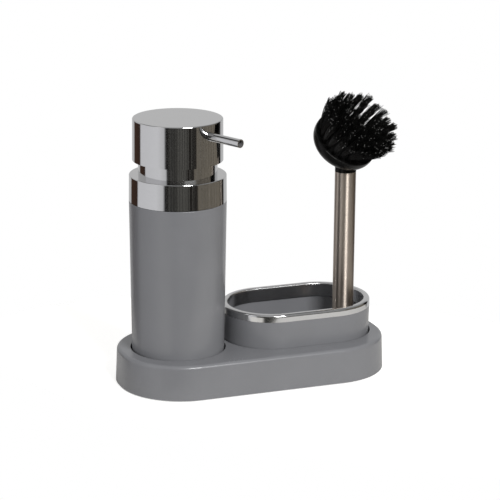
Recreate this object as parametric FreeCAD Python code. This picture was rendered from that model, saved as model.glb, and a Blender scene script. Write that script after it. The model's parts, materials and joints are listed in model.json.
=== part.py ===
import FreeCAD, Part
import math
import os

# Soap pump caddy: a low tray that carries a pump bottle and an oval cup with a round dish brush.
# Lengths are millimetres and angles are degrees. +Z is up and the front faces -Y.

# Shared values
overrun = 2.0
pick_reach = 0.05
rest_gap = 0.1
bond_gap = 0.03
running_gap = 0.05
full_turn = 360.0

# Tray: a round-cornered shell, open underneath, on four glued feet
tray_height = 24.8
tray_end_flat = 5.2
tray_top_inset = 1.0
front_margin = 16.3
back_margin = 7.9
bottle_margin = 9.2
cup_margin = 7.25
bottle_cup_gap = 1.95
tray_edge = 2.6
tray_wall = 2.6
tray_deck = 2.8
pocket_depth = 14.8
pocket_wall = 2.2
pocket_base = 2.4
pocket_gap = 0.9
pocket_edge = 0.35
foot_r = 6.0
foot_height = 1.6
foot_proud = 0.8
foot_edge = 0.4
foot_wall_gap = 1.0
foot_angle = 42.0
boss_rim = 1.0

# Bottle: a straight cup that widens a little upwards, and the bonded shoulder with its neck
bottle_r = 33.0
bottle_foot_inset = 1.5
bottle_height = 118.6
bottle_wall = 2.4
bottle_base = 3.0
bottle_base_edge = 1.5
bottle_lip_edge = 0.5
shoulder_thick = 3.0
neck_r = 19.0
neck_wall = 2.5
neck_height = 12.3

# Pump engine: the housing hung in the neck, its stem guide, dip tube and inlet valve
gasket_thick = 1.2
flange_inset = 0.6
flange_thick = 2.0
housing_wall = 1.4
ring_wall = 2.8
ring_height = 5.8
guide_flange = 2.0
guide_length = 26.2
inlet_ball_r = 3.0
inlet_hole_r = 1.8
inlet_cone = 2.4
inlet_floor = 2.0
nipple_wall = 1.5
nipple_depth = 9.0
dip_r = 3.2
dip_wall = 0.9
dip_floor_gap = 1.6
dip_bevel = 45.0

# Piston, stem and return spring
stroke = 9.0
stem_wall = 0.7
stem_bore_r = 1.5
stop_gap = 0.2
stem_stop = 1.5
stem_stop_rim = 0.8
piston_height = 8.0
piston_waist = 0.8
piston_lip = 2.2
piston_hub_step = 1.0
bead = 1.4
spring_length = 17.8
spring_turns = 5
spring_wire_r = 0.45
spring_side_gap = 0.5
spring_bead_gap = 0.8
seat_gap = 0.1

# Collar and the screw closure inside it
collar_top_inset = 0.2
collar_wall = 1.0
collar_plate = 1.0
collar_gap = 0.25
collar_edge = 0.5
sleeve_step = 6.3
sleeve_wall = 1.0
sleeve_cover = 4.2
sleeve_hole_r = 10.0
closure_gap = 0.1
closure_lip = 1.2
closure_lip_hole_r = 12.0
closure_wall = 2.2
closure_skirt = 1.4
neck_gap = 0.3

# Pump head: cap, core, spout and outlet valve
stroke_spare = 1.1
cap_sleeve_gap = 2.5
cap_foot_flare = 0.2
cap_height = 28.4
cap_wall = 1.2
cap_plate = 1.4
cap_edge = 0.8
core_disc = 2.5
core_boss_r = 7.0
core_grip = 6.5
core_arm_r = 5.0
core_arm_gap = 3.2
core_duct_r = 2.0
spout_r = 2.85
spout_wall = 0.8
spout_overhang = 28.3
spout_headroom = 1.57
spout_turn = 25.5
spout_root = 3.2
spout_hole_gap = 0.15
stem_drop = 7.2
outlet_ball_r = 2.5
outlet_side_gap = 0.4
outlet_lift = 1.3

# Cup: an oval tumbler with a socket for the brush, and a plated rim pushed over its edge
cup_length = 106.6
cup_width = 68.0
cup_height = 38.9
cup_foot_inset = 0.55
cup_wall = 3.45
cup_base = 2.6
cup_base_edge = 1.2
rim_band = 5.4
rim_leg = 0.8
rim_fit = 0.05
rim_skirt_gap = 0.25
rim_skirt_leg = 0.7
rim_skirt = 8.7
rim_crown = 1.3
rim_outer_edge = 1.9
rim_inner_edge = 1.2
socket_gap = 0.35
socket_wall = 1.8
socket_height = 20.0

# Brush: a steel tube handle, its end plug, the domed head and the tufts
brush_end_inset = 17.35
handle_r = 7.4
handle_wall = 0.8
handle_length = 122.3
plug_foot = 2.5
plug_edge = 0.8
plug_shank = 12.0
head_neck_show = 7.55
head_tilt = 42.0
head_turn = 16.5
head_r = 23.0
head_band = 2.4
head_depth = 15.5
head_crown_drop = 3.1
head_edge = 0.6
head_neck_sink = 10.0
head_shank = 14.0
tuft_rings = 4
tufts_in_first_ring = 6
tuft_rim_margin = 3.8
tuft_flare = 20.8
tuft_r = 1.3
tuft_tip_r = 2.0
tuft_length = 19.8
tuft_root = 4.9
tuft_mouth = 0.3

# The tray's plan, which follows from what stands on it and the margins round them
tray_length = bottle_margin + 2 * bottle_r + bottle_cup_gap + cup_length + cup_margin
tray_width = front_margin + cup_width + back_margin
tray_corner = (tray_width - tray_end_flat) / 2

# Places in the plan, measured from the tray's centre
bottle_x = bottle_margin + bottle_r - tray_length / 2
cup_x = tray_length / 2 - cup_margin - cup_length / 2
cup_y = (front_margin - back_margin) / 2
brush_x = cup_x + cup_length / 2 - brush_end_inset
brush_y = cup_y

# Heights that follow from the sizes above, from the tray upwards
pocket_z = tray_height - pocket_depth
bottle_z = pocket_z + rest_gap
bottle_top = bottle_z + bottle_height
neck_top = bottle_top + neck_height
flange_z = neck_top + gasket_thick
flange_top = flange_z + flange_thick
ring_top = flange_top + ring_height
guide_top = ring_top + guide_flange
guide_z = guide_top - guide_length
stop_top = guide_z - stop_gap
piston_top = stop_top - stem_stop - seat_gap
piston_z = piston_top - piston_height
bead_top = piston_z - seat_gap
stem_z = bead_top - bead
spring_top = piston_z - seat_gap
spring_z = spring_top - spring_length
ledge_z = spring_z - seat_gap
inlet_z = ledge_z - inlet_cone
socket_top = inlet_z - inlet_floor
closure_lip_z = flange_top + stop_gap
collar_z = bottle_top + collar_gap
collar_top = closure_lip_z + closure_lip + closure_gap + collar_plate
cap_z = collar_top + stroke + stroke_spare
cap_top = cap_z + cap_height
core_top = cap_top - cap_plate - bond_gap
sleeve_top = cap_z + sleeve_cover
spout_z = core_top - spout_headroom - core_arm_r
stem_top = spout_z - stem_drop
core_z = stem_top - core_grip
cup_z = pocket_z + rest_gap
cup_floor = cup_z + cup_base
cup_top = cup_z + cup_height
band_z = cup_top - rim_band
plug_z = cup_floor + rest_gap
handle_z = plug_z + plug_foot
handle_top = handle_z + handle_length
head_z = handle_top + head_neck_show + head_r * math.sin(math.radians(head_tilt))

# Radii that follow from the sizes above
stem_r = outlet_ball_r + outlet_side_gap + stem_wall
collar_r = bottle_r
sleeve_r = collar_r - sleeve_step
cap_r = sleeve_r + cap_sleeve_gap + cap_wall
spout_reach = cap_r + spout_overhang
stop_r = stem_r + stem_stop_rim
spring_r = stop_r + spring_bead_gap + spring_wire_r
housing_bore_r = spring_r + spring_wire_r + spring_side_gap
housing_r = housing_bore_r + housing_wall
ring_r = housing_bore_r + ring_wall
flange_r = neck_r - flange_inset
neck_bore_r = neck_r - neck_wall
cap_bore_r = cap_r - cap_wall
rim_width = cup_wall + rim_skirt_gap + rim_skirt_leg
handle_bore_r = handle_r - handle_wall
tuft_ring_step = (head_r - tuft_rim_margin) / tuft_rings
cone_slant = math.sqrt(2.0)

up = FreeCAD.Vector(0, 0, 1)


def point(x, y, z):
    """Short name for a point or a direction."""
    return FreeCAD.Vector(x, y, z)


def turned(corners, x, y):
    """Solid turned about the upright axis at (x, y) from a closed outline of (radius, height) corners."""
    points = [point(r, 0, z) for r, z in corners]
    face = Part.Face(Part.makePolygon(points + points[:1]))
    solid = face.revolve(point(0, 0, 0), up, full_turn)
    solid.translate(point(x, y, 0))
    return solid


def rod(radius, start, end):
    """Round rod between two points."""
    along = end - start
    return Part.makeCylinder(radius, along.Length, start, along)


def tube(radius, wall, start, end):
    """Round tube between two points, open at both ends."""
    along = end - start
    along.normalize()
    bore = rod(radius - wall, start - along * overrun, end + along * overrun)
    return rod(radius, start, end).cut(bore)


def outline(length, width, corner, x, y, z):
    """Closed wire of a rectangle with round corners about (x, y), lying at height z."""
    half_l = length / 2 - corner
    half_w = width / 2 - corner
    centres = [(half_l, half_w), (-half_l, half_w), (-half_l, -half_w), (half_l, -half_w)]
    edges = []
    last = None
    for quarter, (cx, cy) in enumerate(centres):
        angles = [math.pi / 2 * (quarter + part) for part in (0, 1 / 2, 1)]
        arc = [point(x + cx + corner * math.cos(a), y + cy + corner * math.sin(a), z) for a in angles]
        if last and last.distanceToPoint(arc[0]) > pick_reach:
            edges.append(Part.LineSegment(last, arc[0]).toShape())
        edges.append(Part.Arc(*arc).toShape())
        last = arc[2]
    first = edges[0].Vertexes[0].Point
    if last.distanceToPoint(first) > pick_reach:
        edges.append(Part.LineSegment(last, first).toShape())
    return Part.Wire(Part.__sortEdges__(edges))


def leaning(length, width, corner, place, low, high, lean):
    """Round-cornered block about a place, drawn in on every side by the lean from low to high."""
    base = outline(length, width, corner, *place, low)
    top = outline(length - 2 * lean, width - 2 * lean, corner - lean, *place, high)
    return Part.makeLoft([base, top], True, True)


def oval(inset, low, high, lean):
    """Round-ended block in the cup's plan, drawn in by the inset at low and by the lean more at high."""
    width = cup_width - 2 * inset
    return leaning(cup_length - 2 * inset, width, width / 2, (cup_x, cup_y), low, high, lean)


def flat_edges(shape, height, near):
    """Edges that lie level at a height and whose middle passes the test."""
    found = []
    for edge in shape.Edges:
        box = edge.BoundBox
        middle = edge.valueAt((edge.FirstParameter + edge.LastParameter) / 2)
        level = abs(box.ZMin - height) < pick_reach and abs(box.ZMax - height) < pick_reach
        if level and near(middle):
            found.append(edge)
    return found


def anywhere(middle):
    """Test that every edge passes."""
    return True


def from_axis(middle, x, y):
    """Plan distance of a point from an upright axis."""
    return math.hypot(middle.x - x, middle.y - y)


def from_cup_spine(middle):
    """Plan distance of a point from the straight line between the cup's two end centres."""
    half = (cup_length - cup_width) / 2
    return math.hypot(max(abs(middle.x - cup_x) - half, 0), middle.y - cup_y)


def bottle_radius(height):
    """Outer radius of the bottle at a height."""
    return bottle_r - bottle_foot_inset * (bottle_top - height) / bottle_height


def cup_inset(height):
    """How far the cup's outer wall is drawn in at a height."""
    return cup_foot_inset * (band_z - height) / (band_z - cup_z)


def foot_places():
    """Plan places of the four feet, each tucked into a round corner of the tray's wall."""
    reach = tray_corner - tray_wall - foot_wall_gap - foot_r
    angle = math.radians(foot_angle)
    x = tray_length / 2 - tray_corner + reach * math.cos(angle)
    y = tray_width / 2 - tray_corner + reach * math.sin(angle)
    return [(sx * x, sy * y) for sx in (-1, 1) for sy in (-1, 1)]


def tray_shell():
    """Tray with a hollow underside, two pockets let into its deck and a boss over each foot."""
    bottle_pocket_r = bottle_radius(tray_height) + pocket_gap
    cup_pocket_inset = cup_inset(tray_height) - pocket_gap
    deck_z = tray_height - tray_deck
    plan = (tray_length, tray_width, tray_corner)
    hollow_plan = [size - 2 * tray_wall for size in plan[:2]] + [tray_corner - tray_wall]
    lean_rate = tray_top_inset / (tray_height - foot_proud)
    shell = leaning(*plan, (0, 0), foot_proud, tray_height, tray_top_inset)
    shell = shell.makeFillet(tray_edge, flat_edges(shell, tray_height, anywhere))
    hollow_z = foot_proud - overrun
    shell = shell.cut(leaning(*hollow_plan, (0, 0), hollow_z, deck_z, lean_rate * (deck_z - hollow_z)))
    inner_deck = deck_z + tray_deck / 2
    wells = [
        Part.makeCylinder(
            bottle_pocket_r + pocket_wall,
            inner_deck - pocket_z + pocket_base,
            point(bottle_x, 0, pocket_z - pocket_base),
        ),
        oval(cup_pocket_inset - pocket_wall, pocket_z - pocket_base, inner_deck, 0),
    ]
    bosses = [
        Part.makeCylinder(foot_r + boss_rim, inner_deck - foot_height, point(x, y, foot_height))
        for x, y in foot_places()
    ]
    pockets = [
        Part.makeCylinder(bottle_pocket_r, pocket_depth + overrun, point(bottle_x, 0, pocket_z)),
        oval(cup_pocket_inset, pocket_z, tray_height + overrun, 0),
    ]
    shell = shell.fuse(wells + bosses).removeSplitter().cut(pockets)

    def at_mouth(middle):
        by_bottle = from_axis(middle, bottle_x, 0) < bottle_pocket_r + pick_reach
        by_cup = from_cup_spine(middle) < cup_width / 2 - cup_pocket_inset + pick_reach
        return by_bottle or by_cup

    return shell.makeFillet(pocket_edge, flat_edges(shell, tray_height, at_mouth))


def tray_feet():
    """Four soft round feet, glued under the tray's bosses."""
    corners = [
        (0, 0),
        (foot_r - foot_edge, 0),
        (foot_r, foot_edge),
        (foot_r, foot_height),
        (0, foot_height),
    ]
    return Part.makeCompound([turned(corners, x, y) for x, y in foot_places()])


def bottle_shell():
    """Open cup of the bottle, with a rounded foot and a softened lip."""
    base_r = bottle_radius(bottle_z)
    inner_z = bottle_z + bottle_base
    corners = [
        (0, bottle_z),
        (base_r, bottle_z),
        (bottle_r, bottle_top),
        (bottle_r - bottle_wall, bottle_top),
        (bottle_radius(inner_z) - bottle_wall, inner_z),
        (0, inner_z),
    ]
    shell = turned(corners, bottle_x, 0)

    def on_outside(middle):
        return from_axis(middle, bottle_x, 0) > base_r - pick_reach

    shell = shell.makeFillet(bottle_base_edge, flat_edges(shell, bottle_z, on_outside))
    return shell.makeFillet(bottle_lip_edge, flat_edges(shell, bottle_top, on_outside))


def bottle_neck():
    """Shoulder plate bonded inside the bottle's mouth, with the neck that the closure screws on."""
    plate_z = bottle_top - shoulder_thick
    plate_r = bottle_radius(plate_z) - bottle_wall - bond_gap
    corners = [
        (neck_bore_r, plate_z),
        (plate_r, plate_z),
        (plate_r, bottle_top),
        (neck_r, bottle_top),
        (neck_r, neck_top),
        (neck_bore_r, neck_top),
    ]
    return turned(corners, bottle_x, 0)


def housing_gasket():
    """Flat ring that seals the housing's flange on the neck."""
    bore = housing_r + running_gap
    corners = [(bore, neck_top), (flange_r, neck_top), (flange_r, flange_z), (bore, flange_z)]
    return turned(corners, bottle_x, 0)


def pump_housing():
    """Pump cylinder with its flange, snap ring, inlet valve seat and dip tube socket."""
    socket_r = dip_r + bond_gap
    nipple_r = socket_r + nipple_wall
    nipple_z = socket_top - nipple_depth
    corners = [
        (housing_bore_r, ring_top),
        (ring_r, ring_top),
        (ring_r, flange_top),
        (flange_r, flange_top),
        (flange_r, flange_z),
        (housing_r, flange_z),
        (housing_r, ledge_z),
        (nipple_r, socket_top),
        (nipple_r, nipple_z),
        (socket_r, nipple_z),
        (socket_r, socket_top),
        (inlet_hole_r, socket_top),
        (inlet_hole_r, inlet_z),
        (inlet_hole_r + inlet_cone, ledge_z),
        (housing_bore_r, ledge_z),
    ]
    return turned(corners, bottle_x, 0)


def stem_guide():
    """Long sleeve snapped into the housing, which guides the stem and stops the piston at the top."""
    sleeve = housing_bore_r - bond_gap
    bore = stem_r + running_gap
    corners = [
        (bore, guide_z),
        (sleeve, guide_z),
        (sleeve, ring_top),
        (ring_r, ring_top),
        (ring_r, guide_top),
        (bore, guide_top),
    ]
    return turned(corners, bottle_x, 0)


def dip_tube():
    """Tube from the housing's socket to just above the bottle's floor, cut slanting at its end."""
    low = bottle_z + bottle_base + dip_floor_gap
    pipe = tube(dip_r, dip_wall, point(bottle_x, 0, low), point(bottle_x, 0, socket_top - bond_gap))
    side = 2 * (dip_r + overrun)
    wedge = Part.makeBox(2 * side, side, side, point(-side, -side / 2, -side))
    wedge.rotate(point(0, 0, 0), point(0, 1, 0), dip_bevel)
    wedge.translate(point(bottle_x, 0, low + dip_r * math.tan(math.radians(dip_bevel))))
    return pipe.cut(wedge)


def inlet_ball():
    """Check ball that rests in the cone at the foot of the housing."""
    centre_z = inlet_z + inlet_ball_r * cone_slant - inlet_hole_r + running_gap
    return Part.makeSphere(inlet_ball_r, point(bottle_x, 0, centre_z))


def piston():
    """Piston ring with a sealing lip at both ends, free to turn on the stem between its two stops."""
    seal = housing_bore_r - running_gap
    bore = stem_r + running_gap
    corners = [
        (bore, piston_z),
        (seal, piston_z),
        (seal, piston_z + piston_lip),
        (seal - piston_waist, piston_z + piston_lip + piston_hub_step),
        (seal - piston_waist, piston_top - piston_lip - piston_hub_step),
        (seal, piston_top - piston_lip),
        (seal, piston_top),
        (bore, piston_top),
    ]
    return turned(corners, bottle_x, 0)


def outlet_levels():
    """Height of the outlet ball's centre at rest, and of the foot of the cone that it sits in."""
    highest = stem_top - math.sqrt(outlet_ball_r ** 2 - core_duct_r ** 2)
    centre_z = highest - outlet_lift - seat_gap
    return centre_z, centre_z - running_gap - (outlet_ball_r * cone_slant - stem_bore_r)


def piston_stem():
    """Hollow stem with the stops that carry the piston, and the outlet valve's chamber at its top."""
    chamber_r = outlet_ball_r + outlet_side_gap
    cone_z = outlet_levels()[1]
    corners = [
        (stem_bore_r, stem_z),
        (stop_r, stem_z),
        (stop_r, bead_top),
        (stem_r, bead_top),
        (stem_r, stop_top - stem_stop),
        (stop_r, stop_top - stem_stop),
        (stop_r, stop_top),
        (stem_r, stop_top),
        (stem_r, stem_top),
        (chamber_r, stem_top),
        (chamber_r, cone_z + chamber_r - stem_bore_r),
        (stem_bore_r, cone_z),
    ]
    return turned(corners, bottle_x, 0)


def outlet_ball():
    """Check ball in the top of the stem, under the core's duct."""
    return Part.makeSphere(outlet_ball_r, point(bottle_x, 0, outlet_levels()[0]))


def tangent_arc(start, corner, end):
    """Arc that leaves start towards a corner and comes into end from that corner."""
    middle = (start + end) * 0.5
    cosine = middle.distanceToPoint(start) / corner.distanceToPoint(start)
    crown = middle + (corner - middle) * (cosine / (1 + cosine))
    return Part.Arc(start, crown, end).toShape()


def helix_point(turn, low, rise):
    """Point of the spring's centre line after a number of turns, and its unit tangent there."""
    angle = 2 * math.pi * turn
    place = point(spring_r * math.cos(angle), spring_r * math.sin(angle), low + rise * turn)
    tangent = point(-spring_r * math.sin(angle), spring_r * math.cos(angle), rise / (2 * math.pi))
    return place, tangent.normalize()


def pump_spring():
    """Return spring: one wire on arcs that follow a helix, two to each quarter turn."""
    low = spring_z + spring_wire_r
    rise = (spring_length - 2 * spring_wire_r) / spring_turns
    path = []
    for quarter in range(4 * spring_turns):
        start, leaving = helix_point(quarter / 4, low, rise)
        end, coming = helix_point((quarter + 1) / 4, low, rise)
        chord = end - start
        both = chord.dot(leaving + coming)
        bend = 2 * (1 - leaving.dot(coming))
        reach = (math.sqrt(both ** 2 + bend * chord.dot(chord)) - both) / bend
        first_corner = start + leaving * reach
        last_corner = end - coming * reach
        joint = (first_corner + last_corner) * 0.5
        path.append(tangent_arc(start, first_corner, joint))
        path.append(tangent_arc(joint, last_corner, end))
    start, leaving = helix_point(0, low, rise)
    wire = Part.Wire([Part.makeCircle(spring_wire_r, start, leaving)])
    coil = Part.Wire(path).makePipeShell([wire], True, False)
    print("spring: least gap between turns", round(rise - 2 * spring_wire_r, 3), "mm")
    coil.translate(point(bottle_x, 0, 0))
    return coil


def collar():
    """Plated collar: an outer skirt over the closure, and the sleeve that the cap slides over."""
    skirt_r = collar_r - collar_top_inset
    corners = [
        (collar_r - collar_wall, collar_z),
        (collar_r, collar_z),
        (skirt_r, collar_top),
        (sleeve_r, collar_top),
        (sleeve_r, sleeve_top),
        (sleeve_hole_r, sleeve_top),
        (sleeve_hole_r, sleeve_top - sleeve_wall),
        (sleeve_r - sleeve_wall, sleeve_top - sleeve_wall),
        (sleeve_r - sleeve_wall, collar_top - collar_plate),
        (skirt_r - collar_wall, collar_top - collar_plate),
    ]
    ring = turned(corners, bottle_x, 0)

    def on_rim(middle):
        return from_axis(middle, bottle_x, 0) > skirt_r - pick_reach

    return ring.makeFillet(collar_edge, flat_edges(ring, collar_top, on_rim))


def collar_insert():
    """Moulded screw closure inside the collar: neck sleeve, lip over the flange, and outer skirt."""
    outer = collar_r - collar_top_inset - collar_wall - closure_gap
    bore = neck_r + neck_gap
    lip_top = closure_lip_z + closure_lip
    corners = [
        (bore, collar_z),
        (bore + closure_wall, collar_z),
        (bore + closure_wall, closure_lip_z),
        (outer - closure_skirt, closure_lip_z),
        (outer - closure_skirt, collar_z),
        (outer, collar_z),
        (outer, lip_top),
        (closure_lip_hole_r, lip_top),
        (closure_lip_hole_r, closure_lip_z),
        (bore, closure_lip_z),
    ]
    return turned(corners, bottle_x, 0)


def along_spout(reach):
    """Point on the spout's axis at a distance from the pump's axis."""
    angle = math.radians(spout_turn)
    return point(bottle_x + reach * math.sin(angle), -reach * math.cos(angle), spout_z)


def pump_cap():
    """Plated cap, a deep lid with a flat top, drilled for the spout."""
    base_r = cap_r + cap_foot_flare
    under = cap_top - cap_plate
    corners = [
        (0, cap_top),
        (cap_r, cap_top),
        (base_r, cap_z),
        (base_r - cap_wall, cap_z),
        (cap_bore_r, under),
        (0, under),
    ]
    cap = turned(corners, bottle_x, 0)
    cap = cap.makeFillet(cap_edge, flat_edges(cap, cap_top, anywhere))
    return cap.cut(rod(spout_r + spout_hole_gap, along_spout(spout_root), along_spout(base_r + overrun)))


def actuator_core():
    """Moulded core bonded under the cap's top, which grips the stem and ducts the soap to the spout."""
    disc_r = cap_bore_r - bond_gap
    disc_z = core_top - core_disc
    parts = [
        Part.makeCylinder(core_boss_r, core_top - core_z, point(bottle_x, 0, core_z)),
        rod(core_arm_r, along_spout(0), along_spout(cap_bore_r - core_arm_gap)),
    ]
    core = Part.makeCylinder(disc_r, core_disc, point(bottle_x, 0, disc_z)).fuse(parts)
    grip_z = core_z - overrun
    cuts = [
        Part.makeCylinder(stem_r + bond_gap, stem_top - grip_z, point(bottle_x, 0, grip_z)),
        Part.makeCylinder(core_duct_r, spout_z - grip_z, point(bottle_x, 0, grip_z)),
        rod(spout_r + bond_gap, along_spout(spout_root), along_spout(cap_bore_r)),
        rod(core_duct_r, along_spout(0), along_spout(spout_root + overrun)),
    ]
    return core.cut(cuts)


def spout_tube():
    """Thin straight spout, cut square at its tip."""
    return tube(spout_r, spout_wall, along_spout(spout_root + bond_gap), along_spout(spout_reach))


def cup_body():
    """Oval tumbler with a stepped lip for the rim and an upright socket for the brush handle."""
    lip_top = cup_top - rim_crown - rim_fit
    body = oval(cup_foot_inset, cup_z, band_z, -cup_foot_inset)
    body = body.makeFillet(cup_base_edge, flat_edges(body, cup_z, anywhere))
    lip = oval(rim_leg + rim_fit, band_z - overrun, lip_top, 0)
    lean_rate = cup_foot_inset / (band_z - cup_z)
    hollow_lean = lean_rate * (lip_top + overrun - cup_floor)
    hollow = oval(cup_wall + cup_inset(cup_floor), cup_floor, lip_top + overrun, -hollow_lean)
    body = body.fuse(lip).cut(hollow)
    inner = handle_r + socket_gap
    low = cup_floor - cup_base / 2
    foot = point(brush_x, brush_y, low)
    socket = Part.makeCylinder(inner + socket_wall, cup_floor + socket_height - low, foot)
    bore = Part.makeCylinder(inner, socket_height + overrun, point(brush_x, brush_y, cup_floor))
    return body.fuse(socket).cut(bore).removeSplitter()


def cup_rim():
    """Plated rim: a rounded channel over the cup's lip with a deeper skirt inside."""
    skirt_z = cup_top - rim_crown - rim_skirt
    under = cup_top - rim_crown
    rim = oval(0, skirt_z, cup_top, 0)
    rim = rim.cut(oval(rim_width, skirt_z - overrun, cup_top + overrun, 0))
    channel = oval(rim_leg, skirt_z, under, 0)
    channel = channel.cut(oval(rim_width - rim_skirt_leg, skirt_z - overrun, under + overrun, 0))
    below = oval(-overrun, skirt_z - overrun, band_z + rest_gap, 0)
    below = below.cut(oval(rim_leg + rim_fit, skirt_z - overrun - overrun, band_z + overrun, 0))
    rim = rim.cut([channel, below])
    half = cup_width / 2

    def outer(middle):
        return from_cup_spine(middle) > half - pick_reach

    def inner(middle):
        return from_cup_spine(middle) < half - rim_width + pick_reach

    rim = rim.makeFillet(rim_outer_edge, flat_edges(rim, cup_top, outer))
    return rim.makeFillet(rim_inner_edge, flat_edges(rim, cup_top, inner))


def brush_handle():
    """Thin steel tube."""
    return tube(handle_r, handle_wall, point(brush_x, brush_y, handle_z), point(brush_x, brush_y, handle_top))


def handle_end_plug():
    """Moulded plug that closes the foot of the handle."""
    shank_r = handle_bore_r - bond_gap
    shank_top = handle_z + plug_shank
    corners = [
        (0, plug_z),
        (handle_r - plug_edge, plug_z),
        (handle_r, plug_z + plug_edge),
        (handle_r, handle_z),
        (shank_r, handle_z),
        (shank_r, shank_top),
        (0, shank_top),
    ]
    return turned(corners, brush_x, brush_y)


def set_on_handle(shape):
    """Tilt a shape made about the head's own axis, turn it and lift it to its place above the handle."""
    shape.rotate(point(0, 0, 0), point(1, 0, 0), head_tilt)
    shape.rotate(point(0, 0, 0), up, head_turn)
    shape.translate(point(brush_x, brush_y, head_z))
    return shape


def tuft_axes():
    """Foot point on the head's face and unit direction of every tuft, ring by ring."""
    axes = [(point(0, 0, 0), up)]
    for ring in range(1, tuft_rings + 1):
        radius = tuft_ring_step * ring
        count = tufts_in_first_ring * ring
        tilt = math.radians(tuft_flare * ring / tuft_rings)
        for step in range(count):
            angle = 2 * math.pi * (step + (ring % 2) / 2) / count
            outward = point(math.cos(angle), math.sin(angle), 0)
            axes.append((outward * radius, outward * math.sin(tilt) + up * math.cos(tilt)))
    return axes


def bowl():
    """Domed back of the head about its own axis: a straight band, a round side and a flatter crown."""
    rise = head_depth - head_band
    side_r = rise - head_crown_drop
    run = head_r - side_r
    crown_r = (run ** 2 + rise ** 2 - side_r ** 2) / (2 * head_crown_drop)
    side_centre = point(run, 0, -head_band)
    crown_centre = point(0, 0, crown_r - head_depth)
    meeting = (side_centre - crown_centre).normalize()
    join = side_centre + meeting * side_r
    low_angle = math.atan2(meeting.x, -meeting.z)
    crown_middle = crown_centre + point(math.sin(low_angle / 2), 0, -math.cos(low_angle / 2)) * crown_r
    side_angle = (low_angle + math.pi / 2) / 2
    side_middle = side_centre + point(math.sin(side_angle), 0, -math.cos(side_angle)) * side_r
    start = point(0, 0, -head_depth)
    end = point(head_r, 0, -head_band)
    edges = [
        Part.Arc(start, crown_middle, join).toShape(),
        Part.Arc(join, side_middle, end).toShape(),
    ]
    edges += Part.makePolygon([end, point(head_r, 0, 0), point(0, 0, 0), start]).Edges
    solid = Part.Face(Part.Wire(edges)).revolve(point(0, 0, 0), up, full_turn)
    return solid.makeFillet(head_edge, flat_edges(solid, 0, anywhere))


def brush_head():
    """Moulded head with its neck, the shank that it grips the handle by, and a hole for every tuft."""
    foot = point(brush_x, brush_y, handle_top)
    neck = rod(handle_r, foot, point(brush_x, brush_y, head_z - head_neck_sink))
    shank = rod(handle_bore_r - bond_gap, foot - up * head_shank, foot + up * head_neck_sink)
    head = set_on_handle(bowl()).fuse([neck, shank]).removeSplitter()
    hole_r = tuft_r + running_gap
    holes = [rod(hole_r, start - axis * tuft_root, start + axis * overrun) for start, axis in tuft_axes()]
    return head.cut(set_on_handle(Part.makeCompound(holes)))


def bristle_tufts():
    """Stiff tufts, each gathered in its hole and spreading towards its trimmed end."""
    corners = [
        (0, running_gap - tuft_root),
        (tuft_r, running_gap - tuft_root),
        (tuft_r, tuft_mouth),
        (tuft_tip_r, tuft_length),
        (0, tuft_length),
    ]
    tufts = []
    for foot, axis in tuft_axes():
        tuft = turned(corners, 0, 0)
        tuft.Placement = FreeCAD.Placement(foot, FreeCAD.Rotation(up, axis))
        tufts.append(tuft)
    return set_on_handle(Part.makeCompound(tufts))


makers = [
    tray_shell, tray_feet, bottle_shell, bottle_neck, housing_gasket, pump_housing, stem_guide,
    dip_tube, inlet_ball, piston, piston_stem, outlet_ball, pump_spring, collar, collar_insert,
    pump_cap, actuator_core, spout_tube, cup_body, cup_rim, brush_handle, handle_end_plug,
    brush_head, bristle_tufts,
]

nodes = {maker.__name__: maker() for maker in makers}

# The origin is the middle of the whole set's footprint, on the surface that it stands on.
footprint = Part.makeCompound(list(nodes.values())).optimalBoundingBox()
shift = point(-footprint.Center.x, -footprint.Center.y, 0)

os.makedirs("parts", exist_ok=True)
for name, shape in nodes.items():
    shape.translate(shift)
    shape.exportStep(f"parts/{name}.step")
    print(name, "solids", len(shape.Solids), "volume", round(shape.Volume, 1), "valid", shape.isValid())
print("tray centre in the part's frame", round(shift.x, 4), round(shift.y, 4))
print("pump axis x", round(bottle_x + shift.x, 4), "y", round(shift.y, 4))
print("box", footprint)
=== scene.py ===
# %% [markdown]
# # Soap pump caddy
# A grey tray carries a soap pump and an oval cup with a dish brush in it. The CAD model already holds
# every rigid shape, so this lesson gives each of them its finish, winds the spring, grows the bristles, and
# sets up a small studio with one camera. Everything is in metres, in the CAD model's own frame.

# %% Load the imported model
import json
import math

import bpy
import numpy as np
from mathutils import Matrix, Vector


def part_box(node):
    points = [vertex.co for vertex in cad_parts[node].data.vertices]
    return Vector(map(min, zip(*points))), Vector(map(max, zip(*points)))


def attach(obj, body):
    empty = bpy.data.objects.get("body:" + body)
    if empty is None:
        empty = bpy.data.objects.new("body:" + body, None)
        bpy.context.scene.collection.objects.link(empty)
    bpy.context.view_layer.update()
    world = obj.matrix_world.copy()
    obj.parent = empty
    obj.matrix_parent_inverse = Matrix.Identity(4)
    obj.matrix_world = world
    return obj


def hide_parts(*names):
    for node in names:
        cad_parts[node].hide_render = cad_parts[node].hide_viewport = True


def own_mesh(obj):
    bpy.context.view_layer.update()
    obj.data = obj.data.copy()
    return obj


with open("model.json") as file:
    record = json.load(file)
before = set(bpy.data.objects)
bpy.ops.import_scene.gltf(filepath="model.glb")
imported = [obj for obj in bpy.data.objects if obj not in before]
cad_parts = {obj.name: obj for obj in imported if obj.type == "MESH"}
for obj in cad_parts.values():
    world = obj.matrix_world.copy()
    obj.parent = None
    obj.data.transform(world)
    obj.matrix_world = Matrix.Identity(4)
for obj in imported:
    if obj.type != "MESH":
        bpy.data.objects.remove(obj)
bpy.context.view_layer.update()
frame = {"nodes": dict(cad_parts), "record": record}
nodes = frame["nodes"]
MM = 0.001

# %% [markdown]
# ## Places read from the model
# A piece that is added here has to sit on the CAD model, so its place comes from the boxes of the nodes
# and not from typed numbers. The tray's middle, the brush's axis and the handle's top are read here, and
# later cells read the boxes of other nodes in the same way.

# %% Places


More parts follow.
